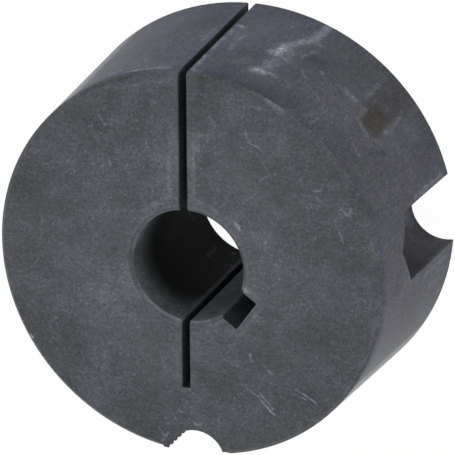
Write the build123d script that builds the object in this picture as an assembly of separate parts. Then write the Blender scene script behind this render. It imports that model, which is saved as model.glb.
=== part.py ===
from build123d import *
import math
import os

# A split taper bush, which clamps a wheel's hub to a shaft. It is one casting: a short cone, bored
# and keyed for the shaft, sawn through on one side so that it can close, and sawn part of the way
# on the other side so that it bends there. Round its outside are three half-holes, whose other
# halves are in the hub: two plain blind ones take the screws that draw the bush in, and a threaded
# one that goes right through takes the screw that pushes it out.
#
# Lengths are millimetres and angles are degrees. The origin is the centre of the large end face,
# +Z runs along the bore to the small end, and the through cut is on the +Y side. Angles round the
# bush are counted clockwise from +Y, as seen from the small end.

# Cone
LENGTH = 31.75
LARGE_END_DIAMETER = 69.85
INCLUDED_TAPER = 8.0
LARGE_END_EDGE_BREAK = 0.4
SMALL_END_EDGE_BREAK = 0.65

# Bore and keyway
BORE_DIAMETER = 19.0
BORE_CHAMFER = 0.6
KEYWAY_WIDTH = 6.0
KEYWAY_DEPTH = 2.9
KEYWAY_CORNER_RADIUS = 0.25
KEYWAY_ANGLE = 125.0

# Saw cuts, which run a little to the side of the axis
SAW_CUT_WIDTH = 1.35
SAW_CUT_EDGE_BREAK = 0.2
THROUGH_CUT_OFFSET = -0.6
RELIEF_CUT_OFFSET = -0.35
RELIEF_CUT_DEPTH = 11.6

# Half-holes, on one circle just inside the large end's edge
SCREW_DIAMETER = 11.11
SCREW_CLEARANCE = 0.3
HOLE_CIRCLE_INSET = 1.5
THREADED_HOLE_ANGLE = 178.0
PLAIN_HOLE_SPREAD = 94.0
PLAIN_HOLE_DEPTH = 19.0
DRILL_POINT_ANGLE = 118.0
RUBBED_CORNER_RADIUS = 0.8

# How far a cutter runs on past the face that it breaks through
CUTTER_OVERRUN = 2.0

TAPER_SLOPE = math.tan(math.radians(INCLUDED_TAPER / 2))
LARGE_END_RADIUS = LARGE_END_DIAMETER / 2
BORE_RADIUS = BORE_DIAMETER / 2
HOLE_CIRCLE_RADIUS = LARGE_END_RADIUS - HOLE_CIRCLE_INSET
THREADED_HOLE_RADIUS = SCREW_DIAMETER / 2
PLAIN_HOLE_RADIUS = THREADED_HOLE_RADIUS + SCREW_CLEARANCE
PLAIN_HOLE_ANGLES = (THREADED_HOLE_ANGLE - PLAIN_HOLE_SPREAD, THREADED_HOLE_ANGLE + PLAIN_HOLE_SPREAD)


def cone_radius(height):
    """Radius of the tapered outside at a height above the large end face."""
    return LARGE_END_RADIUS - height * TAPER_SLOPE


def turned_about_axis(angle):
    """Turn that carries the +Y side of the bush round to an angle clockwise from +Y."""
    return Rot(Z=-angle)


def bored_cone():
    """The turned blank: tapered outside, bore, chamfered bore mouths and broken outer edges."""
    section = Polyline(
        (BORE_RADIUS + BORE_CHAMFER, 0),
        (LARGE_END_RADIUS - LARGE_END_EDGE_BREAK, 0),
        (cone_radius(LARGE_END_EDGE_BREAK), LARGE_END_EDGE_BREAK),
        (cone_radius(LENGTH - SMALL_END_EDGE_BREAK), LENGTH - SMALL_END_EDGE_BREAK),
        (cone_radius(LENGTH) - SMALL_END_EDGE_BREAK, LENGTH),
        (BORE_RADIUS + BORE_CHAMFER, LENGTH),
        (BORE_RADIUS, LENGTH - BORE_CHAMFER),
        (BORE_RADIUS, BORE_CHAMFER),
        close=True,
    )
    return revolve(Plane.XZ * make_face(section), Axis.Z)


def saw_cut(reach):
    """Cutter for a saw cut from the axis out along +Y, flared where it meets the two end faces."""
    half_width = SAW_CUT_WIDTH / 2
    half_height = LENGTH / 2
    flared_half_width = half_width + SAW_CUT_EDGE_BREAK + CUTTER_OVERRUN
    upper_corners = [
        (half_width, half_height - SAW_CUT_EDGE_BREAK),
        (flared_half_width, half_height + CUTTER_OVERRUN),
    ]
    right_side = [(x, -z) for x, z in reversed(upper_corners)] + upper_corners
    left_side = [(-x, z) for x, z in reversed(right_side)]
    profile = make_face(Polyline(*right_side, *left_side, close=True))
    end_view = Plane(origin=(0, 0, half_height), x_dir=(1, 0, 0), z_dir=(0, -1, 0))
    return extrude(end_view * profile, -reach)


def keyway():
    """Cutter for the keyway, from the axis out along +Y, with small radii in its bottom corners."""
    reach = BORE_RADIUS + KEYWAY_DEPTH
    slot = Box(KEYWAY_WIDTH, reach, LENGTH, align=(Align.CENTER, Align.MIN, Align.MIN))
    bottom_corners = slot.edges().filter_by(Axis.Z).group_by(Axis.Y)[-1]
    return fillet(bottom_corners, KEYWAY_CORNER_RADIUS)


def threaded_half_hole():
    """Cutter along +Y for the half-hole that goes right through, at the thread's major diameter."""
    height = LENGTH + 2 * CUTTER_OVERRUN
    drill = Cylinder(THREADED_HOLE_RADIUS, height, align=(Align.CENTER, Align.CENTER, Align.MIN))
    return Pos(0, HOLE_CIRCLE_RADIUS, -CUTTER_OVERRUN) * drill


def plain_half_hole():
    """Cutter along +Y for a blind half-hole, drilled from the large end, with its drill point."""
    point_height = PLAIN_HOLE_RADIUS / math.tan(math.radians(DRILL_POINT_ANGLE / 2))
    half_section = Polyline(
        (0, -CUTTER_OVERRUN),
        (PLAIN_HOLE_RADIUS, -CUTTER_OVERRUN),
        (PLAIN_HOLE_RADIUS, PLAIN_HOLE_DEPTH),
        (0, PLAIN_HOLE_DEPTH + point_height),
        close=True,
    )
    drill = revolve(Plane.XZ * make_face(half_section), Axis.Z)
    return Pos(0, HOLE_CIRCLE_RADIUS, 0) * drill


def blank_with_threaded_half_hole():
    """The blank with the threaded half-hole at +Y, one outer corner of it rubbed round by use."""
    body = bored_cone() - threaded_half_hole()
    long_edges = body.edges().filter_by(lambda edge: edge.length > LENGTH / 2)
    outer_corners = long_edges.filter_by(GeomType.BSPLINE)
    rubbed_corner = outer_corners.sort_by(Axis.X)[0]
    return fillet(rubbed_corner, RUBBED_CORNER_RADIUS)


def taper_bush():
    """The whole bush."""
    bush = turned_about_axis(THREADED_HOLE_ANGLE) * blank_with_threaded_half_hole()
    bush -= Pos(X=THROUGH_CUT_OFFSET) * saw_cut(LARGE_END_RADIUS + CUTTER_OVERRUN)
    bush -= Pos(X=RELIEF_CUT_OFFSET) * Rot(Z=180) * saw_cut(BORE_RADIUS + RELIEF_CUT_DEPTH)
    bush -= turned_about_axis(KEYWAY_ANGLE) * keyway()
    for angle in PLAIN_HOLE_ANGLES:
        bush -= turned_about_axis(angle) * plain_half_hole()
    return bush


os.makedirs("parts", exist_ok=True)
export_step(taper_bush(), "parts/taper_bush.step")
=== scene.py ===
import logging
import math
from dataclasses import dataclass, field
from enum import Enum
from typing import Any

import bpy
from mathutils import Matrix, Vector


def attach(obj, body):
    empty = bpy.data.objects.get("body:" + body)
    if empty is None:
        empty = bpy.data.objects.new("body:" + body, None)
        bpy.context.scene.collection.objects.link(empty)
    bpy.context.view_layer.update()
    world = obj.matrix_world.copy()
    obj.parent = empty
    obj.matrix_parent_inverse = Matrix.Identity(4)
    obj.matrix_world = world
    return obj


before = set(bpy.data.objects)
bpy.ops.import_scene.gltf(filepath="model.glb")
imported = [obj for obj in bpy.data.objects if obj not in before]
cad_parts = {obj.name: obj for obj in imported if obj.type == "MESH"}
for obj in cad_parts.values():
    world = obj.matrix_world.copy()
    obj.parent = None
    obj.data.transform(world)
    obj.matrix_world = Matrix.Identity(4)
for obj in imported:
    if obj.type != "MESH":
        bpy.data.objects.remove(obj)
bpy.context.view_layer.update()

# A split taper bush on a pale floor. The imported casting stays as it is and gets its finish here, and
# the screw thread in its threaded half-hole is added as ridges. Sizes are millimetres and angles are
# degrees unless a name says otherwise. Angles round the bush run clockwise from +Y, seen from the
# small end, and depths on the taper run down from the small end.

Socket = bpy.types.NodeSocket
Sockets = dict[str, Socket]
Tree = bpy.types.NodeTree

LOG = logging.getLogger("taper_bush")
MM = 0.001


def to_linear(code: str) -> tuple[float, float, float, float]:
    """Turn an sRGB colour into the linear one that shaders take.

    Args:
        code: Six hex digits after a hash sign.

    Returns:
        Red, green, blue and an alpha of one.
    """
    shares = [int(code[i:i + 2], 16) / 255 for i in (1, 3, 5)]
    linear = [s / 12.92 if s <= 0.04045 else ((s + 0.055) / 1.055) ** 2.4 for s in shares]
    return (linear[0], linear[1], linear[2], 1.0)


def add_node(tree: Tree, kind: str, inputs: dict[Any, Any], out: int | str = 0,
             **settings: Any) -> Socket | None:
    """Add one shader node with its settings and links.

    Args:
        tree: The node tree that it goes into.
        kind: The node's type, without the ShaderNode in front.
        inputs: What each input gets, by name or number: an output of another node, or a value.
        out: The output that the caller wants.
        settings: The node's own settings, by name.

    Returns:
        The wanted output, or nothing from a node that has none.
    """
    node = tree.nodes.new("ShaderNode" + kind)
    for name, value in settings.items():
        setattr(node, name, value)
    for name, value in inputs.items():
        if isinstance(value, Socket):
            tree.links.new(value, node.inputs[name])
        else:
            node.inputs[name].default_value = value
    return node.outputs[out] if node.outputs else None


def new_material(name: str) -> bpy.types.Material:
    """Make a material with an empty node tree."""
    material = bpy.data.materials.new(name)
    material.use_nodes = True
    material.node_tree.nodes.clear()
    return material


@dataclass(frozen=True)
class BushForm:
    """The casting's sizes that its finish and its thread need."""

    length: float = 31.75
    large_end_radius: float = 34.925
    half_taper: float = 4.0
    small_end_edge_break: float = 0.65
    bore_radius: float = 9.5
    bore_chamfer: float = 0.6
    saw_cut_width: float = 1.35
    through_cut_offset: float = -0.6
    relief_cut_reach: float = 21.1
    hole_circle_radius: float = 33.425
    threaded_hole_angle: float = 178.0
    keyway_angle: float = 125.0
    keyway_width: float = 6.0
    keyway_depth: float = 2.9

    @property
    def slope(self) -> float:
        """How much the radius shrinks with each millimetre of height."""
        return math.tan(math.radians(self.half_taper))

    @property
    def small_end_radius(self) -> float:
        """Radius of the small end, before its edge is broken."""
        return self.large_end_radius - self.length * self.slope

    def on_circle(self, radius: float, angle: float) -> tuple[float, float]:
        """Give the point at a radius and a clockwise angle, as x and y."""
        turn = math.radians(angle)
        return (radius * math.sin(turn), radius * math.cos(turn))


class Wear(Enum):
    """What a mark is made of, as a colour and how rough it leaves the surface. Some rubbed and smeared
    marks are painted highlight and painted shade.
    """

    PALE = ("#6d6e73", 0.50)
    HAZE = ("#6e707e", 0.40)
    BLUED = ("#302f3c", 0.32)
    OLIVE = ("#484b42", 0.46)
    SMEAR = ("#202125", 0.52)
    RUST = ("#3a3624", 0.80)
    RED_RUST = ("#4e3c2c", 0.88)
    RUBBED_AND_HIGHLIGHT = ("#a4a7b2", 0.42)
    CHALK = ("#d3d8e8", 0.72)


# Wear that catches only the coat's high spots
SCRAPED = (Wear.RED_RUST, Wear.RUBBED_AND_HIGHLIGHT, Wear.CHALK)


@dataclass(frozen=True)
class Mark:
    """A soft-edged stroke that use has left on the surface.

    On an end face its ends are x and y. On the taper and in the bore they are an angle and a depth.
    """

    start: tuple[float, float]
    end: tuple[float, float]
    width: float
    strength: float


END_FACE_MARKS: dict[Wear, tuple[Mark, ...]] = {
    Wear.RUBBED_AND_HIGHLIGHT: (
        # Worn lines that the saw's burr left along the split, and that turn out round the bore
        Mark((-3.0, 18.4), (-3.0, 12.0), 0.60, 0.12),
        Mark((-3.0, 14.0), (-3.1, 11.8), 0.60, 0.14),
        Mark((-3.0, 11.8), (-4.8, 10.4), 0.90, 0.15),
        Mark((-4.8, 10.4), (-7.6, 8.6), 0.90, 0.10),
        Mark((1.2, 20.6), (1.2, 12.0), 0.60, 0.10),
        Mark((1.2, 15.0), (1.3, 11.4), 0.60, 0.10),
        Mark((1.4, 11.6), (4.8, 10.4), 0.70, 0.16),
        Mark((4.8, 10.4), (8.2, 8.4), 0.60, 0.12),
        Mark((8.2, 8.7), (9.0, 7.7), 0.50, 0.48),
        Mark((9.7, -2.4), (10.4, -2.7), 0.75, 0.38),
        # Scratches
        Mark((10.3, -19.7), (11.2, -20.3), 0.28, 0.22),
        Mark((11.2, -20.3), (12.3, -20.8), 0.28, 0.34),
        Mark((12.3, -20.8), (13.4, -22.2), 0.28, 0.50),
        Mark((13.4, -22.2), (15.0, -23.5), 0.28, 0.60),
        Mark((12.5, -20.1), (13.5, -21.3), 0.26, 0.34),
        Mark((13.5, -21.3), (14.7, -22.5), 0.26, 0.46),
        Mark((18.7, -18.6), (19.7, -18.9), 0.28, 0.30),
        Mark((19.7, -18.9), (20.7, -19.6), 0.28, 0.50),
        Mark((20.7, -19.6), (22.0, -20.4), 0.28, 0.44),
        Mark((18.3, -19.4), (20.2, -20.0), 0.26, 0.26),
        Mark((13.3, -16.8), (12.1, -19.6), 0.28, 0.12),
        Mark((14.0, -15.9), (14.9, -16.4), 0.30, 0.22),
        Mark((8.0, -21.6), (8.5, -22.1), 0.28, 0.18),
        Mark((11.9, -22.0), (12.9, -22.6), 0.26, 0.12),
        Mark((13.0, -15.2), (14.3, -16.5), 0.24, 0.24),
        Mark((10.0, 24.0), (10.8, 22.3), 0.30, 0.26),
        Mark((10.8, 22.3), (12.2, 21.8), 0.28, 0.28),
        Mark((4.0, 26.0), (5.0, 24.5), 0.29, 0.24),
        Mark((-14.9, 25.0), (-14.6, 23.4), 0.32, 0.26),
        Mark((-14.6, 23.4), (-13.7, 22.4), 0.29, 0.24),
        Mark((24.8, 11.4), (25.6, 9.7), 0.28, 0.18),
        Mark((25.6, 9.7), (26.4, 7.6), 0.30, 0.28),
        Mark((21.5, 15.8), (22.4, 16.0), 0.40, 0.24),
        Mark((19.9, 14.8), (21.0, 15.0), 0.38, 0.20),
        Mark((21.6, 15.0), (23.1, 13.8), 0.28, 0.13),
        Mark((19.3, 13.8), (21.1, 12.0), 0.28, 0.13),
        Mark((26.1, 13.3), (27.1, 12.4), 0.34, 0.22),
        Mark((27.1, 12.4), (27.6, 13.7), 0.32, 0.26),
        Mark((-17.0, -12.0), (-11.5, -6.2), 0.24, 0.13),
        Mark((-16.6, -9.4), (-12.4, -6.6), 0.22, 0.10),
        Mark((9.7, 12.2), (11.8, 14.2), 0.26, 0.18),
        Mark((12.3, 16.2), (13.6, 17.3), 0.26, 0.16),
        Mark((6.3, 11.4), (7.6, 14.2), 0.24, 0.12),
        Mark((-23.5, 4.0), (-18.0, 6.5), 0.22, 0.10),
        Mark((-27.4, -4.0), (-25.2, -1.2), 0.24, 0.14),
        Mark((-25.4, 1.0), (-25.2, 5.0), 0.27, 0.12),
        Mark((-5.5, -14.0), (-3.4, -19.5), 0.24, 0.12),
        Mark((12.0, 21.0), (14.4, 17.0), 0.32, 0.10),
        Mark((24.2, -11.4), (27.6, -12.6), 0.27, 0.12),
        Mark((21.6, -24.6), (26.0, -19.6), 0.32, 0.10),
        Mark((-16.6, -16.6), (-15.6, -19.6), 0.29, 0.12),
        # Small knocks
        Mark((-13.2, 16.2), (-13.0, 15.8), 0.42, 0.30),
        Mark((-13.0, 22.8), (-12.8, 22.7), 0.34, 0.24),
        Mark((10.8, -13.7), (10.9, -13.9), 0.40, 0.36),
        Mark((11.0, -14.5), (11.1, -14.6), 0.34, 0.30),
        Mark((-27.7, -15.9), (-27.5, -16.3), 0.46, 0.60),
        Mark((1.2, -27.3), (1.9, -27.6), 0.60, 0.36),
        Mark((-1.5, -25.3), (-1.2, -25.6), 0.44, 0.26),
        Mark((-2.4, -26.4), (-2.2, -27.0), 0.40, 0.22),
        Mark((7.7, -13.0), (7.8, -13.1), 0.44, 0.24),
        Mark((4.4, 23.2), (4.5, 23.1), 0.36, 0.20),
        Mark((18.9, -25.2), (19.0, -25.3), 0.40, 0.22),
        Mark((-5.2, -29.0), (-4.2, -30.4), 0.40, 0.26),
        Mark((-3.5, -29.6), (-4.6, -31.4), 0.36, 0.34),
        # Light stretches of the rim, partly rubbed coat and partly painted highlight
        Mark((13.4, 29.7), (16.0, 28.4), 0.60, 0.24),
        Mark((14.8, 29.1), (15.8, 28.5), 0.45, 0.24),
        Mark((23.0, 23.4), (26.0, 20.6), 0.45, 0.10),
        Mark((-2.0, 31.4), (-14.0, 28.4), 0.60, 0.08),
        Mark((-12.0, 29.8), (-19.8, 25.5), 0.40, 0.07),
        Mark((31.9, -4.4), (30.7, -10.4), 0.40, 0.07),
        Mark((30.6, -10.4), (26.8, -18.0), 0.40, 0.07),
        # One side of the bore's chamfer, lightened with painted light
        Mark((3.7, -9.1), (-0.8, -9.8), 0.60, 0.16),
        Mark((-0.8, -9.8), (-4.9, -8.5), 0.60, 0.18),
        Mark((-4.9, -8.5), (-7.4, -6.4), 0.60, 0.18),
    ),
    Wear.SMEAR: (
        # Painted shade in the rim's broken edge
        Mark((-27.9, 16.3), (-22.8, 22.9), 0.42, 0.30),
        Mark((-22.8, 22.9), (-16.2, 28.0), 0.42, 0.30),
        Mark((-16.2, 28.0), (-9.4, 31.0), 0.42, 0.26),
        Mark((7.8, 31.4), (14.7, 28.9), 0.42, 0.22),
        Mark((14.7, 28.9), (20.8, 24.9), 0.42, 0.18),
        # The other side of the bore's chamfer, darkened with painted shade
        Mark((-8.9, -4.1), (-9.7, -1.7), 0.80, 0.34),
        Mark((-9.7, -1.7), (-9.8, 0.9), 0.80, 0.34),
        # Where the coating took darker
        Mark((-27.0, 18.0), (-22.0, 22.0), 5.0, 0.16),
        Mark((15.0, 13.8), (15.8, 13.0), 1.1, 0.26),
        Mark((19.4, 19.9), (21.6, 19.1), 3.0, 0.16),
        Mark((16.0, 27.0), (23.0, 21.0), 6.0, 0.14),
        Mark((24.0, 18.0), (27.0, 8.0), 5.0, 0.14),
        Mark((26.0, 7.0), (27.0, -4.0), 7.0, 0.18),
        Mark((10.0, -18.0), (22.0, -14.0), 7.0, 0.16),
        Mark((10.0, -10.0), (9.0, -14.0), 4.0, 0.10),
        Mark((-22.0, -9.0), (-20.0, -7.0), 5.0, 0.10),
        Mark((1.0, -26.0), (8.0, -29.5), 5.0, 0.12),
    ),
    Wear.PALE: (
        # Where the coating took lighter
        Mark((-14.0, 4.0), (-13.0, -6.0), 13.0, 0.10),
        Mark((15.0, 3.0), (14.0, -8.0), 9.0, 0.10),
        Mark((-9.0, -13.0), (-4.0, -17.0), 8.0, 0.18),
        Mark((3.0, 10.0), (9.0, 10.0), 4.0, 0.12),
        Mark((9.0, 18.0), (15.0, 12.0), 7.0, 0.20),
        Mark((-28.0, 6.0), (-25.0, 3.0), 7.0, 0.18),
        Mark((-29.0, -2.0), (-28.0, -8.0), 5.0, 0.12),
        Mark((-20.0, 25.0), (-17.0, 27.0), 5.0, 0.10),
        Mark((16.3, 23.6), (16.1, 21.4), 1.8, 0.26),
        Mark((17.1, 12.4), (17.6, 13.5), 1.2, 0.24),
        Mark((23.8, 17.3), (24.9, 17.6), 1.2, 0.22),
    ),
    Wear.BLUED: (
        # Where the coating took bluer
        Mark((5.6, 26.0), (7.6, 20.6), 2.6, 0.08),
        Mark((11.0, 24.9), (14.0, 25.1), 1.5, 0.20),
        Mark((14.0, 25.1), (18.5, 26.4), 1.6, 0.22),
        Mark((14.6, 16.4), (16.0, 13.4), 2.0, 0.10),
    ),
}

TAPER_MARKS: dict[Wear, tuple[Mark, ...]] = {
    Wear.CHALK: (
        # A chalky scuff where the bush has been knocked in and out
        Mark((15.9, 7.3), (17.0, 7.8), 1.90, 0.34),
        Mark((16.3, 7.4), (16.7, 7.6), 0.90, 0.52),
        Mark((17.0, 7.9), (20.6, 8.2), 0.90, 0.18),
        Mark((17.2, 8.6), (18.0, 12.8), 1.80, 0.12),
        Mark((16.4, 15.2), (17.0, 18.4), 2.00, 0.34),
        Mark((16.6, 15.6), (16.9, 17.4), 1.00, 0.60),
        Mark((19.2, 14.8), (18.4, 18.2), 1.80, 0.16),
        Mark((17.6, 19.2), (19.4, 22.2), 1.30, 0.22),
        Mark((19.6, 22.2), (21.6, 25.2), 1.30, 0.20),
        Mark((21.4, 25.0), (21.8, 28.2), 1.30, 0.20),
        Mark((21.8, 28.0), (21.8, 31.6), 1.20, 0.26),
        Mark((22.4, 24.0), (24.0, 24.2), 0.80, 0.12),
        # Beside the split
        Mark((1.4, 21.3), (2.8, 20.9), 0.80, 0.28),
    ),
    Wear.RUBBED_AND_HIGHLIGHT: (
        # Beside the split
        Mark((1.4, 1.6), (3.4, 1.4), 0.90, 0.26),
        Mark((1.0, 2.4), (1.0, 8.0), 0.70, 0.36),
        Mark((0.9, 4.0), (0.9, 6.6), 0.40, 0.40),
        Mark((0.9, 10.6), (0.8, 15.8), 0.60, 0.36),
        Mark((1.1, 17.4), (1.2, 19.6), 0.60, 0.36),
        Mark((5.0, 11.8), (5.1, 17.6), 0.70, 0.22),
        Mark((4.8, 15.0), (4.9, 17.2), 0.50, 0.16),
        Mark((9.0, 8.0), (11.8, 9.6), 2.20, 0.13),
        # Further round
        Mark((22.6, 17.6), (23.4, 19.2), 0.60, 0.28),
        Mark((23.4, 19.4), (24.2, 21.4), 0.60, 0.26),
        Mark((29.8, 16.6), (29.9, 17.0), 0.60, 0.32),
        Mark((35.4, 16.8), (37.6, 16.4), 1.00, 0.20),
        Mark((37.6, 17.0), (41.2, 16.8), 1.10, 0.26),
        Mark((38.6, 16.4), (40.0, 16.4), 0.60, 0.18),
        Mark((42.6, 19.6), (42.9, 25.6), 0.80, 0.18),
        Mark((25.4, 14.0), (27.4, 12.4), 0.60, 0.24),
        Mark((27.6, 11.6), (34.0, 9.6), 0.50, 0.12),
        Mark((37.4, 2.0), (37.8, 4.8), 0.60, 0.20),
        Mark((35.0, 3.0), (36.2, 5.2), 0.80, 0.14),
        Mark((53.4, 17.4), (53.8, 20.4), 0.80, 0.30),
        Mark((53.4, 20.8), (53.2, 24.6), 0.60, 0.22),
        Mark((52.6, 13.4), (54.6, 14.6), 0.90, 0.12),
        Mark((49.6, 7.2), (53.0, 6.8), 0.80, 0.12),
        Mark((73.1, 17.6), (73.4, 29.4), 0.90, 0.28),
        Mark((96.8, 19.0), (96.6, 28.0), 0.70, 0.22),
        Mark((101.2, 22.8), (102.8, 23.2), 0.80, 0.22),
        Mark((111.8, 24.2), (112.3, 24.8), 0.80, 0.24),
        Mark((107.6, 28.8), (108.1, 29.3), 0.80, 0.24),
        # Left of the split
        Mark((-19.0, 1.7), (-6.0, 1.7), 0.80, 0.46),
        Mark((-11.0, 1.9), (-7.0, 2.2), 0.60, 0.22),
        Mark((-24.4, 3.2), (-22.6, 3.6), 1.20, 0.22),
        Mark((-4.3, 13.6), (-4.2, 19.6), 0.60, 0.20),
        # The light rim of the rust
        Mark((45.8, 13.5), (47.0, 13.0), 0.70, 0.22),
        Mark((48.0, 12.9), (50.6, 12.6), 0.80, 0.22),
        Mark((45.4, 14.0), (44.8, 17.0), 1.00, 0.14),
    ),
    Wear.SMEAR: (
        # Further round
        Mark((24.6, 18.8), (27.8, 19.4), 2.10, 0.34),
        # Broad differences in how the coating took
        Mark((20.0, 1.0), (30.0, 2.4), 3.00, 0.14),
        Mark((45.0, 25.0), (44.4, 18.5), 1.80, 0.20),
        # The dark sides of the rust
        Mark((46.8, 14.4), (47.2, 19.6), 1.20, 0.36),
        Mark((51.0, 21.0), (51.4, 23.2), 1.20, 0.26),
    ),
    Wear.BLUED: (
        # Further round
        Mark((35.6, 16.6), (37.4, 16.3), 1.30, 0.50),
        Mark((55.0, 10.0), (57.0, 14.0), 0.90, 0.50),
        # Broad differences in how the coating took
        Mark((8.0, 3.0), (16.0, 3.0), 5.00, 0.20),
        Mark((18.0, 2.6), (32.0, 3.6), 5.50, 0.32),
        Mark((39.0, 3.0), (46.0, 5.0), 5.00, 0.24),
        Mark((38.0, 2.0), (52.0, 2.0), 2.40, 0.16),
    ),
    Wear.OLIVE: (
        # Beside the split
        Mark((8.6, 7.8), (12.4, 9.8), 2.60, 0.50),
        # Broad differences in how the coating took
        Mark((27.0, 20.0), (42.0, 27.0), 8.00, 0.30),
        Mark((54.0, 6.0), (66.0, 3.0), 5.00, 0.20),
    ),
    Wear.HAZE: (
        # A chalky scuff where the bush has been knocked in and out
        Mark((17.0, 6.0), (19.6, 24.0), 5.00, 0.26),
        # Beside the split
        Mark((5.0, 17.0), (12.0, 27.0), 7.00, 0.30),
        Mark((13.0, 16.0), (14.0, 22.0), 3.00, 0.22),
        Mark((3.0, 3.0), (6.0, 5.6), 2.40, 0.20),
        # Broad differences in how the coating took
        Mark((55.0, 17.0), (58.0, 25.0), 6.00, 0.20),
        Mark((102.0, 6.0), (120.0, 6.0), 5.00, 0.30),
    ),
    Wear.RUST: (
        # A patch of rust, darkest where it sits deepest
        Mark((49.2, 15.6), (49.2, 19.8), 4.60, 0.72),
        Mark((48.4, 19.6), (49.6, 26.0), 4.40, 0.48),
        Mark((49.0, 26.0), (48.6, 33.0), 4.60, 0.30),
        Mark((50.6, 13.2), (51.4, 13.6), 1.40, 0.40),
    ),
    Wear.RED_RUST: (
        # Its redder spots
        Mark((46.6, 15.4), (46.9, 17.2), 0.90, 0.30),
        Mark((51.3, 15.4), (51.5, 17.4), 0.80, 0.34),
    ),
}

BORE_MARKS: dict[Wear, tuple[Mark, ...]] = {
    Wear.RUBBED_AND_HIGHLIGHT: (
        # What the shaft and its key have scraped, deep down
        Mark((-96.0, 24.6), (-106.0, 26.3), 0.50, 0.12),
        Mark((-144.0, 27.3), (-144.0, 23.3), 0.40, 0.20),
        Mark((-161.0, 29.3), (-161.0, 28.3), 0.60, 0.26),
        Mark((-169.0, 24.6), (-173.0, 24.3), 0.60, 0.34),
        Mark((-176.0, 25.8), (-172.5, 21.3), 0.40, 0.20),
        Mark((-168.0, 22.0), (-155.0, 29.0), 3.60, 0.03),
        Mark((173.0, 17.8), (165.0, 18.3), 0.45, 0.30),
        Mark((169.0, 15.3), (161.0, 15.1), 0.45, 0.26),
        Mark((175.0, 21.0), (175.6, 21.6), 0.60, 0.26),
    ),
}


@dataclass(frozen=True)
class Surface:
    """A point of the casting's surface, as sockets of the material's node tree.

    Its place says where it is, its masks say on which kind of surface, and its pattern says what the
    coat looks like there.
    """

    tree: Tree
    place: Sockets
    masks: Sockets
    pattern: Sockets


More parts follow.
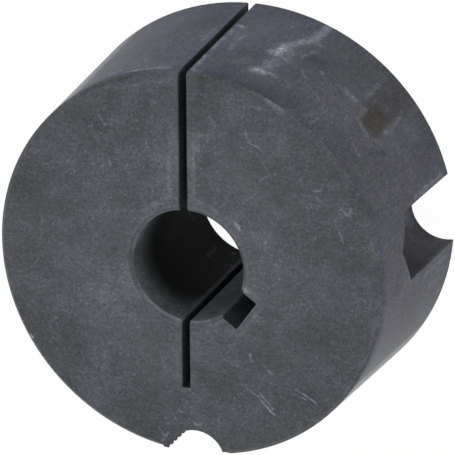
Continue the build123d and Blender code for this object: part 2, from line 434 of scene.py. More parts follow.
@dataclass(frozen=True)
class PhosphatedIron:
    """Cast iron, turned and then phosphated and oiled.

    The phosphate grows as a fine dark crystal coat. It makes the iron a near-black grey that is matt
    seen straight on and has a soft sheen at a low angle, a little bluer on the turned taper. It wears
    light on every edge, and marks show on it as grey scratches and chalky scuffs.
    """

    name: str = "phosphated_cast_iron"
    end_face: str = "#48494e"
    taper: str = "#525259"
    bluer_taper: str = "#4b4e5d"
    half_hole: str = "#37373c"
    bore_mouth: str = "#717379"
    bore_polish: str = "#84868c"
    bore_wall: str = "#64666b"
    # The tone that the bore is blackened to is painted shade
    bore_depth_shade: str = "#020202"
    # The tone of the keyway and the cuts is painted shade
    recess_shade: str = "#2e2f33"
    # Worn edges take this tone, and so does the painted highlight on the bore's lip
    worn_edge_and_highlight: str = "#7f828b"
    roughness: float = 0.52
    taper_roughness: float = 0.30
    taper_mottle: float = 0.84
    taper_blotch: float = 0.60
    specular: float = 0.3
    wall_specular: float = 0.18
    taper_specular: float = 0.03
    grazing_specular: float = 0.80
    # The end face is handled most round the bore, inside the first radius and out to the second
    handled_radii: tuple[float, float] = (18.0, 27.0)
    handled_gain: float = 1.13
    # The taper is plain at the first x and bluer at the second, and hardly bluer behind
    bluer_across: tuple[float, float] = (24.0, -16.0)
    bluer_along: tuple[float, float] = (-10.0, 14.0)
    bluer_behind: float = 0.1
    tint_swing: float = 0.5
    # How much each pattern changes the tone, as a share of it
    cloud_spread: float = 0.30
    blotch_spread: float = 0.22
    grain_spread: float = 0.28
    crystal_spread: float = 0.26
    streak_spread: float = 0.12
    speck_gain: float = 1.55
    hair_gain: float = 1.42
    # How worn each edge is, as a share; the lip's share is partly a painted highlight
    ring_wear: float = 0.08
    halo_wear: float = 0.06
    lip_wear_and_highlight: float = 0.34
    split_wear: float = 0.07
    keyway_wear: float = 0.20
    keyway_ring_wear: float = 0.11
    rim_wear: float = 0.03
    # Real sizes of what the coat shows
    cloud_size: float = 11.0
    tint_size: float = 5.0
    blotch_size: float = 3.0
    grain_size: float = 0.55
    crystal_size: float = 0.21
    speck_size: float = 0.45
    # Each set of fine scratches, as how it is turned and how far off its pattern is drawn
    hair_sets: tuple[tuple[float, float], ...] = ((24.0, 0.0), (68.0, 31.0), (-37.0, 77.0),
                                                  (-80.0, 113.0), (-8.0, 151.0))
    # Marks waver by up to half as much to each side, and scraped ones catch in patches
    end_waver: float = 0.5
    taper_waver: float = 1.0
    waver_size: float = 1.3
    patch_size: float = 0.9
    # The bore is polished near its mouth, and lightened far down with painted light. From the start
    # down to the depth it is blackened with painted shade, except on its lit side, and one side is
    # painted darker still. Spans are where it sets in and where it is full, in depth or as the cosine
    # of the angle from a side.
    polish_depth: float = 4.5
    polished_side: float = 298.0
    polished_span: tuple[float, float] = (0.945, 0.975)
    deep_light_span: tuple[float, float] = (11.0, 14.5)
    deep_light: float = 0.8
    shade_start: float = 3.5
    shade_depth: float = 9.8
    shaded_side: float = 235.0
    shaded_span: tuple[float, float] = (0.4, 0.9)
    shaded_gain: float = 0.76
    dull_lip_side: float = 258.0
    dull_lip_share: float = 0.1
    lit_side: float = 160.0
    lit_span: tuple[float, float] = (0.85, 0.915)
    # The keyway and the cuts are painted dark as shade, and a little lighter near the top as painted
    # light
    recess_lit_depth: float = 7.0
    recess_lit_gain: float = 1.5
    # The half-holes lighten towards the large end, and one is rubbed at a place near there
    half_hole_low_gain: float = 1.70
    half_hole_high_gain: float = 0.98
    half_hole_light_height: float = 12.0
    rubbed_place: tuple[float, float, float] = (27.6, 1.6, 2.8)
    rubbed_reach: float = 2.6
    rubbed_share: float = 0.26
    form: BushForm = field(default_factory=BushForm)

    def build(self) -> bpy.types.Material:
        """Make the material.

        Returns:
            The finished material.
        """
        material = new_material(self.name)
        tree = material.node_tree
        place = self.place(tree)
        masks = self.masks(tree, place)
        pattern = self.pattern(tree, place)
        at = Surface(tree, place, masks, pattern)
        colour = self.plain_colour(at)
        colour = self.mottled(at, colour)
        edges = self.edge_wear_and_highlight(at)
        colour = add_node(tree, "Mix", {0: edges, 6: colour, 7: to_linear(self.worn_edge_and_highlight)}, out=2,
                          data_type="RGBA")
        rough = add_node(tree, "MapRange", {0: masks["taper"], 3: self.roughness,
                                            4: self.taper_roughness})
        for wear, amount in self.wear_amounts(at).items():
            tone, finish = wear.value
            colour = add_node(tree, "Mix", {0: amount, 6: colour, 7: to_linear(tone)}, out=2,
                              data_type="RGBA")
            rough = add_node(tree, "Mix", {0: amount, 2: rough, 3: finish}, data_type="FLOAT")
        spread = add_node(tree, "MapRange", {0: pattern["blotch"], 3: -0.06, 4: 0.06})
        rough = add_node(tree, "Math", {0: rough, 1: spread}, operation="ADD", use_clamp=True)
        bump = add_node(tree, "Bump", {"Strength": 0.35, "Distance": 0.05 * MM,
                                       "Height": pattern["relief"]})
        gloss = self.gloss(at)
        shader = add_node(tree, "BsdfPrincipled", {"Base Color": colour, "Roughness": rough,
                                                   "Normal": bump, "Metallic": 0.0,
                                                   "Specular IOR Level": gloss})
        add_node(tree, "OutputMaterial", {"Surface": shader})
        return material

    def gloss(self, at: Surface) -> Socket:
        """Set how strongly each surface reflects.

        The taper reflects little until it is seen almost edge on, where its oil shines.

        Args:
            at: The point.

        Returns:
            The specular level.
        """
        tree, place, masks = at.tree, at.place, at.masks
        edge_on = add_node(tree, "LayerWeight", {"Blend": 0.5}, out="Facing")
        oiled = add_node(tree, "MapRange", {0: edge_on, 1: 0.90, 2: 0.96, 3: self.taper_specular,
                                            4: self.grazing_specular})
        # The rim is wiped drier than the rest
        wiped = add_node(tree, "MapRange", {0: place["depth"], 1: 0.5, 2: 3.4})
        oiled = add_node(tree, "Math", {0: oiled, 1: wiped}, operation="MULTIPLY")
        level = add_node(tree, "MapRange", {0: masks["wall"], 3: self.specular,
                                            4: self.wall_specular})
        return add_node(tree, "Mix", {0: masks["taper"], 2: level, 3: oiled},
                        data_type="FLOAT")

    def place(self, tree: Tree) -> Sockets:
        """Work out where a point of the surface is.

        Args:
            tree: The material's node tree.

        Returns:
            The point itself, its x, y and z, its radius, its depth below the small end, its places
            on the end face and on the unrolled taper, and how far it is to the side of the split's
            middle, all in millimetres.
        """
        texture = add_node(tree, "TexCoord", {}, out="Object")
        point = add_node(tree, "VectorMath", {0: texture, "Scale": 1 / MM}, operation="SCALE")
        split = add_node(tree, "SeparateXYZ", {0: point}).node
        x, y, z = split.outputs
        flat = add_node(tree, "VectorMath", {0: point, 1: (1, 1, 0)}, operation="MULTIPLY")
        radius = add_node(tree, "VectorMath", {0: flat}, out=1, operation="LENGTH")
        turn = add_node(tree, "Math", {0: x, 1: y}, operation="ARCTAN2")
        angle = add_node(tree, "Math", {0: turn}, operation="DEGREES")
        depth = add_node(tree, "Math", {0: self.form.length, 1: z}, operation="SUBTRACT")
        around = add_node(tree, "Math", {0: angle, 1: self.arc_per_degree}, operation="MULTIPLY")
        unrolled = add_node(tree, "CombineXYZ", {0: around, 1: depth, 2: 0.0})
        across = add_node(tree, "Math", {0: x, 1: self.form.through_cut_offset},
                          operation="SUBTRACT")
        across = add_node(tree, "Math", {0: across}, operation="ABSOLUTE")
        return {"point": point, "x": x, "y": y, "z": z, "radius": radius, "depth": depth,
                "flat": flat, "unrolled": unrolled, "from_split": across}

    @property
    def arc_per_degree(self) -> float:
        """Millimetres round the taper for each degree, at its middle height."""
        middle = (self.form.large_end_radius + self.form.small_end_radius) / 2
        return math.radians(1) * middle

    def masks(self, tree: Tree, place: Sockets) -> Sockets:
        """Tell the casting's surfaces apart.

        Args:
            tree: The material's node tree.
            place: Where the point is.

        Returns:
            One for each kind of surface, from 0 to 1: the end faces, the taper, every other wall,
            and of those walls the half-holes.
        """
        normal = add_node(tree, "TexCoord", {}, out="Normal")
        up = add_node(tree, "SeparateXYZ", {0: normal}, out=2)
        # The end faces and the chamfers look up or down, and the taper lies within a skin of the cone
        steep = add_node(tree, "Math", {0: up}, operation="ABSOLUTE")
        end = add_node(tree, "MapRange", {0: steep, 1: 0.45, 2: 0.65})
        shrink = add_node(tree, "Math", {0: place["z"], 1: self.form.slope}, operation="MULTIPLY")
        cone = add_node(tree, "Math", {0: self.form.large_end_radius, 1: shrink},
                        operation="SUBTRACT")
        inside = add_node(tree, "Math", {0: cone, 1: place["radius"]}, operation="SUBTRACT")
        near = add_node(tree, "MapRange", {0: inside, 1: 0.8, 2: 0.1})
        upright = add_node(tree, "Math", {0: 1.0, 1: end}, operation="SUBTRACT")
        taper = add_node(tree, "Math", {0: near, 1: upright}, operation="MULTIPLY")
        wall = add_node(tree, "Math", {0: upright, 1: taper}, operation="SUBTRACT")
        # Walls this far out are the half-holes'
        outer = add_node(tree, "MapRange", {0: place["radius"], 1: 22.5, 2: 24.0})
        half_hole = add_node(tree, "Math", {0: wall, 1: outer}, operation="MULTIPLY")
        return {"end": end, "taper": taper, "wall": wall, "half_hole": half_hole}

    def pattern(self, tree: Tree, place: Sockets) -> Sockets:
        """Draw the coat's clouds, blotches, crystal grain, specks, streaks and fine scratches.

        Args:
            tree: The material's node tree.
            place: Where the point is.

        Returns:
            Each pattern, from 0 to 1, and their relief.
        """
        point = place["point"]
        drawn: Sockets = {}
        for name, size, detail, roughness, distortion in (
                ("cloud", self.cloud_size, 2.0, 0.5, 0.0),
                ("tint", self.tint_size, 3.0, 0.55, 0.4),
                ("blotch", self.blotch_size, 3.0, 0.62, 0.0),
                ("grain", self.grain_size, 2.0, 0.7, 0.0),
                ("speck", self.speck_size, 0.0, 0.5, 0.0)):
            drawn[name] = add_node(tree, "TexNoise", {
                "Vector": point, "Scale": 1 / size, "Detail": detail, "Roughness": roughness,
                "Distortion": distortion})
        drawn["speck"] = add_node(tree, "MapRange", {0: drawn["speck"], 1: 0.70, 2: 0.80})
        crystal = add_node(tree, "TexVoronoi", {"Vector": point, "Scale": 1 / self.crystal_size},
                           out="Color")
        drawn["crystal"] = add_node(tree, "SeparateXYZ", {0: crystal})
        streak = add_node(tree, "Mapping", {"Vector": place["unrolled"], "Scale": (1.6, 0.22, 1.0)})
        drawn["streak"] = add_node(tree, "TexNoise", {"Vector": streak, "Scale": 1.0, "Detail": 3.0,
                                                      "Roughness": 0.6})
        hairs: Socket | float = 0.0
        for angle, shift in self.hair_sets:
            turned = add_node(tree, "Mapping", {"Vector": point, "Location": (shift, shift, 0),
                                                "Rotation": (0.3, 0.2, math.radians(angle)),
                                                "Scale": (0.25, 5.0, 0.5)})
            lines = add_node(tree, "TexNoise", {"Vector": turned, "Scale": 1.0, "Detail": 1.0})
            thin = add_node(tree, "MapRange", {0: lines, 1: 0.66, 2: 0.80})
            hairs = add_node(tree, "Math", {0: hairs, 1: thin}, operation="MAXIMUM")
        drawn["hairs"] = hairs
        drawn["relief"] = add_node(tree, "Math", {0: drawn["grain"], 1: 1.0, 2: drawn["blotch"]},
                                   operation="MULTIPLY_ADD")
        return drawn

    def plain_colour(self, at: Surface) -> Socket:
        """Give each surface its own tone.

        Args:
            at: The point.

        Returns:
            The colour.
        """
        tree, place, masks = at.tree, at.place, at.masks
        inside = self.inside_colour(tree, place)
        light = add_node(tree, "MapRange", {0: place["radius"], 1: self.handled_radii[0],
                                            2: self.handled_radii[1], 3: self.handled_gain, 4: 1.0},
                         interpolation_type="SMOOTHSTEP")
        face = add_node(tree, "VectorMath", {0: to_linear(self.end_face)[:3], "Scale": light},
                        operation="SCALE")
        taper = self.taper_colour(at)
        colour = add_node(tree, "Mix", {0: masks["taper"], 6: face, 7: taper}, out=2,
                          data_type="RGBA")
        colour = add_node(tree, "Mix", {0: masks["wall"], 6: colour, 7: inside}, out=2,
                          data_type="RGBA")
        drilled = self.half_hole_colour(tree, place)
        return add_node(tree, "Mix", {0: masks["half_hole"], 6: colour, 7: drilled}, out=2,
                        data_type="RGBA")

    def inside_colour(self, tree: Tree, place: Sockets) -> Socket:
        """Colour the bore, and paint the keyway and the cuts beyond its wall dark as shade.

        Args:
            tree: The material's node tree.
            place: Where the point is.

        Returns:
            The colour.
        """
        wall = self.form.bore_radius
        bore = self.bore_colour(tree, place)
        beyond = add_node(tree, "MapRange", {0: place["radius"], 1: wall + 0.15, 2: wall + 0.5})
        # The split's own walls count as beyond it right up to the bore
        half_split = self.form.saw_cut_width / 2
        in_split = add_node(tree, "MapRange", {0: place["from_split"], 1: half_split + 0.125,
                                               2: half_split + 0.015})
        in_split = add_node(tree, "Math", {0: in_split, 1: place["y"]}, operation="MULTIPLY",
                            use_clamp=True)
        beyond = add_node(tree, "Math", {0: beyond, 1: in_split}, operation="MAXIMUM")
        lit = add_node(tree, "MapRange", {0: place["depth"], 1: self.recess_lit_depth, 2: 0.5,
                                          3: 1.0, 4: self.recess_lit_gain})
        recess_shade = add_node(tree, "VectorMath", {0: to_linear(self.recess_shade)[:3], "Scale": lit},
                          operation="SCALE")
        return add_node(tree, "Mix", {0: beyond, 6: bore, 7: recess_shade}, out=2, data_type="RGBA")

    def taper_colour(self, at: Surface) -> Socket:
        """Colour the taper, whose coat took bluer towards one side.

        Args:
            at: The point.

        Returns:
            The colour.
        """
        tree, place = at.tree, at.place
        bluer = add_node(tree, "MapRange", {0: place["x"], 1: self.bluer_across[0],
                                            2: self.bluer_across[1]})
        front = add_node(tree, "MapRange", {0: place["y"], 1: self.bluer_along[0],
                                            2: self.bluer_along[1], 3: self.bluer_behind, 4: 1.0})
        bluer = add_node(tree, "Math", {0: bluer, 1: front}, operation="MULTIPLY")
        tint = add_node(tree, "MapRange", {0: at.pattern["tint"], 1: 0.3, 2: 0.7,
                                           3: -self.tint_swing, 4: self.tint_swing})
        bluer = add_node(tree, "Math", {0: bluer, 1: tint}, operation="ADD", use_clamp=True)
        return add_node(tree, "Mix", {0: bluer, 6: to_linear(self.taper),
                                      7: to_linear(self.bluer_taper)}, out=2, data_type="RGBA")

    def half_hole_colour(self, tree: Tree, place: Sockets) -> Socket:
        """Colour the half-holes, lighter low down and rubbed at one place.

        Args:
            tree: The material's node tree.
            place: Where the point is.

        Returns:
            The colour.
        """
        low = add_node(tree, "MapRange", {0: place["z"], 1: 0.0, 2: self.half_hole_light_height,
                                          3: self.half_hole_low_gain, 4: self.half_hole_high_gain})
        drilled = add_node(tree, "VectorMath", {0: to_linear(self.half_hole)[:3], "Scale": low},
                           operation="SCALE")
        rubbed = add_node(tree, "VectorMath", {0: place["point"], 1: self.rubbed_place}, out=1,
                          operation="DISTANCE")
        rubbed = add_node(tree, "MapRange", {0: rubbed, 1: self.rubbed_reach, 2: 0.6, 3: 0.0,
                                             4: self.rubbed_share}, interpolation_type="SMOOTHSTEP")
        return add_node(tree, "Mix", {0: rubbed, 6: drilled, 7: to_linear(self.worn_edge_and_highlight)}, out=2,
                        data_type="RGBA")

    def bore_colour(self, tree: Tree, place: Sockets) -> Socket:
        """Paint shade into the bore, darkening it with depth, soonest on its shaded side.

        The shaft has polished the coat at the mouth and on one side. Far down the bore is lightened
        with painted light, and below the mouth it is blackened with painted shade, except on its lit
        side.

        Args:
            tree: The material's node tree.
            place: Where the point is.

        Returns:
            The colour.
        """
        # How far round the point is towards the side painted in shade
        black = self.facing(tree, place, self.shaded_side)
        # The mouth is polished, deepest on the polished side, and far down the wall is lightened with
        # painted light
        polish_and_light = add_node(tree, "MapRange", {0: place["depth"], 1: 0.7 * self.polish_depth,
                                             2: self.form.bore_chamfer})
        low = add_node(tree, "MapRange", {0: place["depth"], 1: self.deep_light_span[0],
                                          2: self.deep_light_span[1], 3: 0.0, 4: self.deep_light})
        polish_and_light = add_node(tree, "Math", {0: polish_and_light, 1: low}, operation="MAXIMUM")
        colour = add_node(tree, "Mix", {0: polish_and_light, 6: to_linear(self.bore_wall),
                                        7: to_linear(self.bore_mouth)}, out=2, data_type="RGBA")
        # One side of the bore is painted darker, as painted shade
        shade = add_node(tree, "MapRange", {0: black, 1: self.shaded_span[0], 2: self.shaded_span[1],
                                            3: 1.0, 4: self.shaded_gain})
        colour = add_node(tree, "VectorMath", {0: colour, "Scale": shade}, operation="SCALE")
        bright = self.facing(tree, place, self.polished_side)
        bright = add_node(tree, "MapRange", {0: bright, 1: self.polished_span[0],
                                             2: self.polished_span[1]})
        above = add_node(tree, "MapRange", {0: place["depth"], 1: self.polish_depth,
                                            2: 0.6 * self.polish_depth})
        bright = add_node(tree, "Math", {0: bright, 1: above}, operation="MULTIPLY")
        colour = add_node(tree, "Mix", {0: bright, 6: colour, 7: to_linear(self.bore_polish)},
                          out=2, data_type="RGBA")
        # Below it the wall is blackened with painted shade, but not on the lit side
        reach = add_node(tree, "MapRange", {0: black, 1: self.shaded_span[1],
                                            2: self.shaded_span[0], 3: self.shade_depth,
                                            4: 2 * self.shade_depth})
        left = add_node(tree, "MapRange", {0: place["depth"], 1: reach, 2: self.shade_start})
        left = add_node(tree, "Math", {0: left, 1: 2.0}, operation="POWER")
        # The lit side of the bore is spared the painted shade
        spared = self.facing(tree, place, self.lit_side)
        spared = add_node(tree, "MapRange", {0: spared, 1: self.lit_span[0], 2: self.lit_span[1]},
                          interpolation_type="SMOOTHSTEP")
        left = add_node(tree, "MapRange", {0: left, 3: spared, 4: 1.0})
        return add_node(tree, "Mix", {0: left, 6: to_linear(self.bore_depth_shade), 7: colour}, out=2,
                        data_type="RGBA")

    def facing(self, tree: Tree, place: Sockets, angle: float) -> Socket:
        """Give the cosine of how far round the bore's wall the point is from an angle."""
        x, y = self.form.on_circle(1 / self.form.bore_radius, angle)
        return add_node(tree, "VectorMath", {0: place["flat"], 1: (x, y, 0)}, out=1,
                        operation="DOT_PRODUCT")

    def mottled(self, at: Surface, colour: Socket) -> Socket:
        """Vary a colour with the coat's patterns.

        Args:
            at: The point.
            colour: The even colour.

        Returns:
            The varied colour.
        """
        tree, masks, pattern = at.tree, at.masks, at.pattern
        # The taper is the smoother of the two
        fine = add_node(tree, "MapRange", {0: masks["taper"], 3: 1.0, 4: self.taper_mottle})
        broad = add_node(tree, "MapRange", {0: masks["taper"], 3: 1.0, 4: self.taper_blotch})
        for name, calm, spread, low, high in (
                ("cloud", broad, self.cloud_spread, 0.25, 0.75),
                ("blotch", broad, self.blotch_spread, 0.25, 0.75),
                ("grain", fine, self.grain_spread, 0.25, 0.75),
                ("crystal", fine, self.crystal_spread, 0.0, 1.0)):
            amount = add_node(tree, "MapRange", {0: pattern[name], 1: low, 2: high, 3: -spread,
                                                 4: spread})
            amount = add_node(tree, "Math", {0: amount, 1: calm, 2: 1.0},
                              operation="MULTIPLY_ADD")
            colour = add_node(tree, "VectorMath", {0: colour, "Scale": amount}, operation="SCALE")
        # The taper was turned, and has been slid in and out of hubs
        slid = add_node(tree, "MapRange", {0: pattern["streak"], 1: 0.25, 2: 0.75,
                                           3: -self.streak_spread, 4: self.streak_spread})
        slid = add_node(tree, "Math", {0: slid, 1: masks["taper"], 2: 1.0},
                        operation="MULTIPLY_ADD")
        colour = add_node(tree, "VectorMath", {0: colour, "Scale": slid}, operation="SCALE")
        for name, high in (("speck", self.speck_gain), ("hairs", self.hair_gain)):
            amount = add_node(tree, "MapRange", {0: pattern[name], 3: 1.0, 4: high})
            colour = add_node(tree, "VectorMath", {0: colour, "Scale": amount}, operation="SCALE")
        return colour

    def edge_wear_and_highlight(self, at: Surface) -> Socket:
        """Find where the coat has worn light along the casting's edges, with a painted highlight on the
        bore's lip.

        Args:
            at: The point, whose pattern breaks the wear up.

        Returns:
            How worn the point is, with the lip's painted highlight, from 0 to 1.
        """
        form = self.form
        tree, place, masks, pattern = at.tree, at.place, at.masks, at.pattern
        mouth = form.bore_radius + form.bore_chamfer
        # Both edges of the bore's chamfer, and a faint ring outside it
        past = add_node(tree, "Math", {0: place["radius"], 1: mouth + 0.2}, operation="SUBTRACT")
        past = add_node(tree, "Math", {0: past}, operation="ABSOLUTE")
        ring = add_node(tree, "MapRange", {0: past, 1: 0.40, 2: 0.1, 3: 0.0, 4: self.ring_wear})
        broad = add_node(tree, "MapRange", {0: place["radius"], 1: mouth + 3.0, 2: mouth - 0.2,
                                            3: 0.0, 4: self.halo_wear},
                         interpolation_type="SMOOTHSTEP")
        ring = add_node(tree, "Math", {0: ring, 1: broad}, operation="ADD")
        # The chamfer's lower edge, the lip, is partly worn and partly a painted highlight, dimmer on
        # one side
        lip = add_node(tree, "Math", {0: place["depth"], 1: form.bore_chamfer},
                       operation="SUBTRACT")
        lip = add_node(tree, "Math", {0: lip}, operation="ABSOLUTE")
        lip = add_node(tree, "MapRange", {0: lip, 1: 0.55, 2: 0.1, 3: 0.0, 4: self.lip_wear_and_highlight})
        dull = self.facing(tree, place, self.dull_lip_side)
        dull = add_node(tree, "MapRange", {0: dull, 1: 0.90, 2: 1.0, 3: 1.0,
                                           4: self.dull_lip_share})
        lip = add_node(tree, "Math", {0: lip, 1: dull}, operation="MULTIPLY")
        inner = add_node(tree, "Math", {0: place["radius"], 1: mouth}, operation="LESS_THAN")
        lip = add_node(tree, "Math", {0: lip, 1: inner}, operation="MULTIPLY")
        # The lip stops where the split opens it
        half_split = form.saw_cut_width / 2
        outside = add_node(tree, "MapRange", {0: place["from_split"], 1: half_split + 0.005,
                                              2: half_split + 0.125})
        lip = add_node(tree, "Math", {0: lip, 1: outside}, operation="MULTIPLY")
        # Along both sides of the split and of the relief cut
        beside = add_node(tree, "MapRange", {0: place["from_split"], 1: 3.2, 2: 1.6, 3: 0.0,
                                             4: self.split_wear}, interpolation_type="SMOOTHSTEP")
        reach = add_node(tree, "MapRange", {0: place["y"], 1: -form.relief_cut_reach - 1.0,
                                            2: -form.relief_cut_reach + 1.0})
        beside = add_node(tree, "Math", {0: beside, 1: reach}, operation="MULTIPLY")
        # Round the keyway, a thin line and a faint one outside it
        slot = self.past_keyway(tree, place)
        line = add_node(tree, "MapRange", {0: slot, 1: 0.30, 2: 0.0, 3: 0.0, 4: self.keyway_wear})
        outer = add_node(tree, "Math", {0: slot, 1: 1.0}, operation="SUBTRACT")
        outer = add_node(tree, "Math", {0: outer}, operation="ABSOLUTE")
        outer = add_node(tree, "MapRange", {0: outer, 1: 0.45, 2: 0.1, 3: 0.0,
                                            4: self.keyway_ring_wear})
        edges = ring
        for worn in (beside, line, outer):
            edges = add_node(tree, "Math", {0: edges, 1: worn}, operation="MAXIMUM")
        edges = add_node(tree, "Math", {0: edges, 1: masks["end"]}, operation="MULTIPLY")
        # The small end's broken outer edge
        rim = add_node(tree, "Math", {0: place["radius"],
                                      1: form.small_end_radius - form.small_end_edge_break},
                       operation="SUBTRACT")
        rim = add_node(tree, "MapRange", {0: rim, 1: -0.3, 2: 0.1, 3: 0.0, 4: self.rim_wear})
        near_top = add_node(tree, "MapRange", {0: place["depth"], 1: 1.4, 2: 0.5})
        rim = add_node(tree, "Math", {0: rim, 1: near_top}, operation="MULTIPLY")
        for worn in (lip, rim):
            edges = add_node(tree, "Math", {0: edges, 1: worn}, operation="MAXIMUM")
        broken = add_node(tree, "MapRange", {0: pattern["blotch"], 1: 0.35, 2: 0.65, 3: 0.4,
                                             4: 1.5})
        return add_node(tree, "Math", {0: edges, 1: broken}, operation="MULTIPLY", use_clamp=True)

    def past_keyway(self, tree: Tree, place: Sockets) -> Socket:
        """Measure how far outside the keyway's outline the point is.

        Args:
            tree: The material's node tree.
            place: Where the point is.

        Returns:
            The distance in millimetres, and zero inside the outline.
        """
        form = self.form
        out_x, out_y = form.on_circle(1.0, form.keyway_angle)
        along = add_node(tree, "VectorMath", {0: place["flat"], 1: (out_x, out_y, 0)}, out=1,
                         operation="DOT_PRODUCT")
        across = add_node(tree, "VectorMath", {0: place["flat"], 1: (out_y, -out_x, 0)}, out=1,
                          operation="DOT_PRODUCT")
        across = add_node(tree, "Math", {0: across}, operation="ABSOLUTE")
        over = add_node(tree, "Math", {0: along, 1: form.bore_radius + form.keyway_depth},
                        operation="SUBTRACT")
        over = add_node(tree, "Math", {0: over, 1: 0.0}, operation="MAXIMUM")
        wide = add_node(tree, "Math", {0: across, 1: form.keyway_width / 2}, operation="SUBTRACT")
        wide = add_node(tree, "Math", {0: wide, 1: 0.0}, operation="MAXIMUM")
        offset = add_node(tree, "CombineXYZ", {0: over, 1: wide, 2: 0.0})
        gap = add_node(tree, "VectorMath", {0: offset}, out=1, operation="LENGTH")
        behind = add_node(tree, "MapRange", {0: along, 1: form.bore_radius - 1.0,
                                             2: form.bore_radius, 3: 9.0, 4: 0.0})
        return add_node(tree, "Math", {0: gap, 1: behind}, operation="ADD")

    def wear_amounts(self, at: Surface) -> dict[Wear, Socket]:
        """Draw all the marks of each kind of wear.

        Args:
            at: The point, whose pattern breaks the marks up.

        Returns:
            How much of each kind of wear the point has, from 0 to 1.
        """
        tree, place, masks, pattern = at.tree, at.place, at.masks, at.pattern
        waver = add_node(tree, "TexNoise", {"Vector": place["point"], "Scale": 1 / self.waver_size,
                                            "Detail": 2.0}, out="Color")
        waver = add_node(tree, "VectorMath", {0: waver, 1: (0.5, 0.5, 0.5)}, operation="SUBTRACT")
        slight = add_node(tree, "VectorMath", {0: waver, 1: (self.end_waver, self.end_waver, 0.0)},
                          operation="MULTIPLY")
        on_end = add_node(tree, "VectorMath", {0: place["flat"], 1: slight}, operation="ADD")
        on_taper = add_node(tree, "VectorMath", {0: waver, 1: (self.taper_waver, self.taper_waver, 0.0),
                                                 2: place["unrolled"]}, operation="MULTIPLY_ADD")
        upper = add_node(tree, "Math", {0: place["depth"], 1: 1.0}, operation="LESS_THAN")
        upper_end = add_node(tree, "Math", {0: masks["end"], 1: upper}, operation="MULTIPLY")
        grit = add_node(tree, "MapRange", {0: pattern["grain"], 1: 0.3, 2: 0.7, 3: 0.45, 4: 1.25})
        patchy = add_node(tree, "TexNoise", {"Vector": place["point"], "Scale": 1 / self.patch_size,
                                             "Detail": 3.0, "Roughness": 0.6})
        patchy = add_node(tree, "MapRange", {0: patchy, 1: 0.35, 2: 0.62, 3: 0.35, 4: 1.25})
        grit = add_node(tree, "Math", {0: grit, 1: patchy}, operation="MULTIPLY")
        soft_grit = add_node(tree, "MapRange", {0: grit, 1: 0.2, 2: 1.4, 3: 0.6, 4: 1.15})
        # The bore unrolls to a narrower strip than the taper
        bore_arc = math.radians(self.form.bore_radius)
        narrow = (bore_arc / self.arc_per_degree, 1.0, 0.0)
        in_bore = add_node(tree, "VectorMath", {0: place["unrolled"], 1: narrow, 2: slight},
                           operation="MULTIPLY_ADD")
        bore = add_node(tree, "Math", {0: place["radius"], 1: self.form.bore_radius + 0.1},
                        operation="LESS_THAN")
        amounts: dict[Wear, Socket] = {}
        for wear in Wear:
            amount: Socket | float = 0.0
            for marks, where, mask, scale in ((END_FACE_MARKS, on_end, upper_end, 1.0),
                                              (TAPER_MARKS, on_taper, masks["taper"],
                                               self.arc_per_degree),
                                              (BORE_MARKS, in_bore, bore, bore_arc)):
                total: Socket | float = 0.0
                for mark in marks.get(wear, ()):
                    total = self.with_stroke(tree, total, where, mark, scale)
                amount = add_node(tree, "Math", {0: total, 1: mask, 2: amount},
                                  operation="MULTIPLY_ADD")
            breaks = grit if wear in SCRAPED else soft_grit
            amounts[wear] = add_node(tree, "Math", {0: amount, 1: breaks}, operation="MULTIPLY",
                                     use_clamp=True)
        return amounts

    def with_stroke(self, tree: Tree, total: Socket | float,
                    where: Socket, mark: Mark, scale: float) -> Socket:
        """Draw one mark by its distance from a line, over the marks drawn before it.

        Args:
            tree: The material's node tree.
            total: The amount of the marks before it.
            where: The point's place on the flat or unrolled surface.
            mark: The mark.
            scale: What turns the mark's first coordinate into millimetres.

        Returns:
            The amount with this mark in it.
        """
        start = Vector((mark.start[0] * scale, mark.start[1], 0))
        run = Vector((mark.end[0] * scale, mark.end[1], 0)) - start
        offset = add_node(tree, "VectorMath", {0: where, 1: start}, operation="SUBTRACT")
        along = add_node(tree, "VectorMath", {0: offset, 1: run / run.length_squared}, out=1,
                         operation="DOT_PRODUCT")
        along = add_node(tree, "Math", {0: along, 1: 0.0}, operation="MAXIMUM")
        along = add_node(tree, "Math", {0: along, 1: 1.0}, operation="MINIMUM")
        nearest = add_node(tree, "VectorMath", {0: run, "Scale": along}, operation="SCALE")
        gap = add_node(tree, "VectorMath", {0: offset, 1: nearest}, out=1, operation="DISTANCE")
        stroke = add_node(tree, "MapRange", {0: gap, 1: mark.width, 2: 0.0, 3: 0.0,
                                             4: mark.strength}, interpolation_type="SMOOTHSTEP",
                          clamp=False)
        return add_node(tree, "Math", {0: total, 1: stroke}, operation="MAXIMUM")


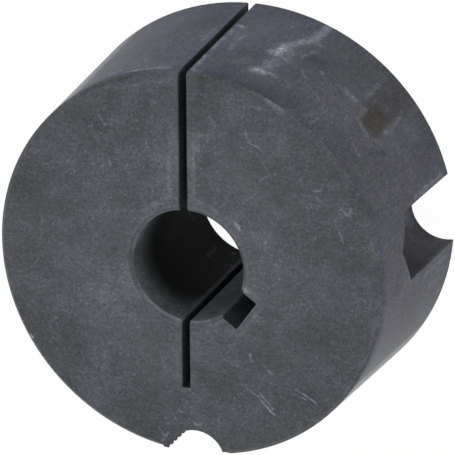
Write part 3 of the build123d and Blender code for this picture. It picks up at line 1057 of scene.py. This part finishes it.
@dataclass
class ScrewThread:
    """The ridges of the thread in the half-hole that goes right through.

    A 7/16 inch screw with 14 threads to the inch and flanks at 55 degrees. The half-hole's wall is
    the thread's root, and the ridges stand on it.
    """

    form: BushForm
    finish: bpy.types.Material
    name: str = "screw_thread"
    root_radius: float = 5.555
    crest_radius: float = 4.80
    pitch: float = 1.814
    flank_angle: float = 55.0
    sunk: float = 0.15
    skin: float = 0.09
    start: float = -1.9
    turns: int = 20
    steps: int = 72
    # The root is a little narrower than the pitch, and the ridges stop just short of the end faces
    root_share: float = 0.94
    end_clearance: float = 0.02
    # The corner that use has rubbed round takes the ridges with it
    corner_radius: float = 33.8
    corner_angle: float = 168.6
    corner_relief: float = 1.5
    smooth_angle: float = 35.0
    piece: bpy.types.Object | None = None

    def build(self) -> None:
        """Build the ridges, trim them to the casting and dress them."""
        self.wind_ridges()
        self.trim_to_casting()
        self.dress()

    def wind_ridges(self) -> None:
        """Wind one tooth's section up the half-hole's axis."""
        tall = self.root_radius + self.sunk - self.crest_radius
        root_width = self.pitch * self.root_share
        crest_width = root_width - 2 * tall * math.tan(math.radians(self.flank_angle / 2))
        axis = self.form.on_circle(self.form.hole_circle_radius, self.form.threaded_hole_angle)
        bpy.ops.object.select_all(action="DESELECT")
        bpy.ops.mesh.primitive_plane_add(
            size=1.0, location=(axis[0] * MM, axis[1] * MM, self.start * MM),
            rotation=(math.radians(90), 0, 0))
        self.piece = bpy.context.object
        self.piece.name = self.name
        bpy.ops.object.transform_apply(location=False, rotation=True, scale=False)
        bpy.ops.object.mode_set(mode="EDIT")
        bpy.ops.mesh.select_all(action="SELECT")
        bpy.ops.transform.resize(value=(tall * MM, 1, root_width * MM))
        bpy.ops.transform.translate(value=((self.root_radius + self.sunk - tall / 2) * MM, 0, 0))
        self.select_crest()
        bpy.ops.transform.resize(value=(1, 1, crest_width / root_width))
        bpy.ops.object.mode_set(mode="OBJECT")
        screw = self.piece.modifiers.new("wind", "SCREW")
        screw.angle = math.radians(360)
        screw.screw_offset = self.pitch * MM
        screw.iterations = self.turns
        screw.steps = self.steps
        screw.render_steps = self.steps
        screw.use_merge_vertices = False
        bpy.ops.object.modifier_apply(modifier="wind")
        bpy.ops.object.transform_apply(location=True, rotation=False, scale=False)
        bpy.ops.object.mode_set(mode="EDIT")
        bpy.ops.mesh.select_all(action="SELECT")
        bpy.ops.mesh.remove_doubles(threshold=0.001 * MM)
        bpy.ops.mesh.select_all(action="DESELECT")
        bpy.ops.mesh.select_mode(type="EDGE")
        bpy.ops.mesh.select_non_manifold()
        bpy.ops.mesh.fill_holes(sides=0)
        bpy.ops.mesh.select_all(action="SELECT")
        bpy.ops.mesh.normals_make_consistent(inside=False)
        bpy.ops.object.mode_set(mode="OBJECT")

    def select_crest(self) -> None:
        """Select the inner edge of the tooth's section, which is its crest."""
        bpy.ops.mesh.select_all(action="DESELECT")
        bpy.ops.object.mode_set(mode="OBJECT")
        middle = (self.root_radius + self.crest_radius) / 2 * MM
        for vertex in self.piece.data.vertices:
            vertex.select = vertex.co.x < middle
        bpy.ops.object.mode_set(mode="EDIT")

    def trim_to_casting(self) -> None:
        """Cut away what stands out of the taper, of the end faces or of the rubbed corner."""
        form = self.form
        bpy.ops.object.select_all(action="DESELECT")
        low = self.end_clearance
        high = form.length - self.end_clearance
        bpy.ops.mesh.primitive_cone_add(
            vertices=360, depth=(high - low) * MM, location=(0, 0, (low + high) / 2 * MM),
            radius1=(form.large_end_radius - low * form.slope - self.skin) * MM,
            radius2=(form.large_end_radius - high * form.slope - self.skin) * MM)
        body = bpy.context.object
        corner = form.on_circle(self.corner_radius, self.corner_angle)
        bpy.ops.mesh.primitive_cylinder_add(
            vertices=48, radius=self.corner_relief * MM, depth=2 * form.length * MM,
            location=(corner[0] * MM, corner[1] * MM, form.length / 2 * MM))
        relief = bpy.context.object
        for tool, operation in ((body, "INTERSECT"), (relief, "DIFFERENCE")):
            trim = self.piece.modifiers.new("trim", "BOOLEAN")
            trim.operation = operation
            trim.solver = "EXACT"
            trim.object = tool
            bpy.context.view_layer.objects.active = self.piece
            bpy.ops.object.modifier_apply(modifier="trim")
            bpy.data.objects.remove(tool)

    def dress(self) -> None:
        """Smooth the ridges and give them the casting's finish."""
        bpy.ops.object.select_all(action="DESELECT")
        self.piece.select_set(True)
        bpy.context.view_layer.objects.active = self.piece
        bpy.ops.object.shade_smooth_by_angle(angle=math.radians(self.smooth_angle))
        self.piece.data.materials.clear()
        self.piece.data.materials.append(self.finish)
        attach(self.piece, "root")
        LOG.info("%s: %d faces", self.name, len(self.piece.data.polygons))


@dataclass
class Casting:
    """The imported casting, which only gets its finish here."""

    finish: bpy.types.Material
    node: str = "taper_bush"

    def dress(self) -> None:
        """Give the casting its finish."""
        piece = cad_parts[self.node]
        for place in piece.material_slots:
            place.material = self.finish
        LOG.info("%s: %d faces", self.node, len(piece.data.polygons))


@dataclass
class Studio:
    """A pale floor, a pale room, a soft lamp above, and the camera."""

    form: BushForm
    floor_size: float = 3000.0
    floor_colour: str = "#fcfcfc"
    floor_glow: float = 0.96
    shaded_radius: float = 36.0
    clear_radius: float = 62.0
    room_strength: float = 0.64
    lamp_power: float = 1.5
    lamp_size: float = 500.0
    lamp_place: tuple[float, float, float] = (150.0, 60.0, 620.0)
    lens: float = 250.59
    aim: tuple[float, float, float] = (0.884, 1.11, 15.875)
    distance: float = 519.21
    azimuth: float = 47.463
    elevation: float = 60.376
    roll: float = 133.707

    def build(self) -> None:
        """Lay the floor, light the room and place the camera."""
        self.lay_floor()
        self.light_room()
        self.hang_lamp()
        self.place_camera()

    def lay_floor(self) -> None:
        """Lay a pale floor that looks white to the camera and still takes the bush's shadow."""
        bpy.ops.object.select_all(action="DESELECT")
        bpy.ops.mesh.primitive_plane_add(size=self.floor_size * MM)
        floor = bpy.context.object
        floor.name = "floor"
        material = new_material("matt_white_board")
        tree = material.node_tree
        path = add_node(tree, "LightPath", {}).node
        mirrored = add_node(tree, "Math", {0: path.outputs["Is Glossy Ray"],
                                           1: path.outputs["Is Transmission Ray"]},
                            operation="MAXIMUM")
        ground = add_node(tree, "TexCoord", {}, out="Object")
        away = add_node(tree, "VectorMath", {0: ground}, out=1, operation="LENGTH")
        clear = add_node(tree, "MapRange", {0: away, 1: self.shaded_radius * MM,
                                            2: self.clear_radius * MM},
                         interpolation_type="SMOOTHSTEP")
        mirrored = add_node(tree, "Math", {0: mirrored, 1: clear}, operation="MULTIPLY")
        seen = add_node(tree, "Math", {0: path.outputs["Is Camera Ray"], 1: mirrored},
                        operation="MAXIMUM")
        share = add_node(tree, "Math", {0: seen, 1: self.floor_glow}, operation="MULTIPLY")
        matt = add_node(tree, "BsdfDiffuse", {"Color": to_linear(self.floor_colour)})
        glow = add_node(tree, "Emission", {"Color": (1, 1, 1, 1), "Strength": 1.0})
        mixed = add_node(tree, "MixShader", {0: share, 1: matt, 2: glow})
        add_node(tree, "OutputMaterial", {"Surface": mixed})
        floor.data.materials.append(material)

    def light_room(self) -> None:
        """Fill the room with even light, and show it white."""
        world = bpy.data.worlds.new("pale_room")
        world.use_nodes = True
        tree = world.node_tree
        tree.nodes.clear()
        path = add_node(tree, "LightPath", {}, out="Is Camera Ray")
        strength = add_node(tree, "MapRange", {0: path, 3: self.room_strength, 4: 1.0})
        back = add_node(tree, "Background", {"Color": (1, 1, 1, 1), "Strength": strength})
        add_node(tree, "OutputWorld", {"Surface": back})
        bpy.context.scene.world = world

    def hang_lamp(self) -> None:
        """Hang one large soft lamp above the bush."""
        place = Vector(self.lamp_place) * MM
        bpy.ops.object.light_add(type="AREA", location=place)
        lamp = bpy.context.object
        lamp.name = "soft_box"
        lamp.data.energy = self.lamp_power
        lamp.data.size = self.lamp_size * MM
        lamp.rotation_euler = place.to_track_quat("Z", "Y").to_euler()

    def place_camera(self) -> None:
        """Place the camera and make it the scene's own."""
        azimuth = math.radians(self.azimuth)
        elevation = math.radians(self.elevation)
        back = Vector((math.cos(azimuth) * math.cos(elevation),
                       math.sin(azimuth) * math.cos(elevation), math.sin(elevation)))
        data = bpy.data.cameras.new("camera")
        data.lens = self.lens
        camera = bpy.data.objects.new("camera", data)
        bpy.context.scene.collection.objects.link(camera)
        turn = back.to_track_quat("Z", "Y").to_matrix().to_4x4()
        turn = turn @ Matrix.Rotation(-math.radians(self.roll), 4, "Z")
        stand = Vector(self.aim) * MM + back * self.distance * MM
        camera.matrix_world = Matrix.Translation(stand) @ turn
        bpy.context.scene.camera = camera


def main() -> None:
    """Build the pieces in order, and report each."""
    logging.basicConfig(level=logging.INFO, format="%(name)s: %(message)s")
    bpy.context.scene.view_settings.view_transform = "Standard"
    form = BushForm()
    iron = PhosphatedIron(form=form).build()
    Casting(finish=iron).dress()
    ScrewThread(form=form, finish=iron).build()
    Studio(form=form).build()


if __name__ == "__main__":
    main()
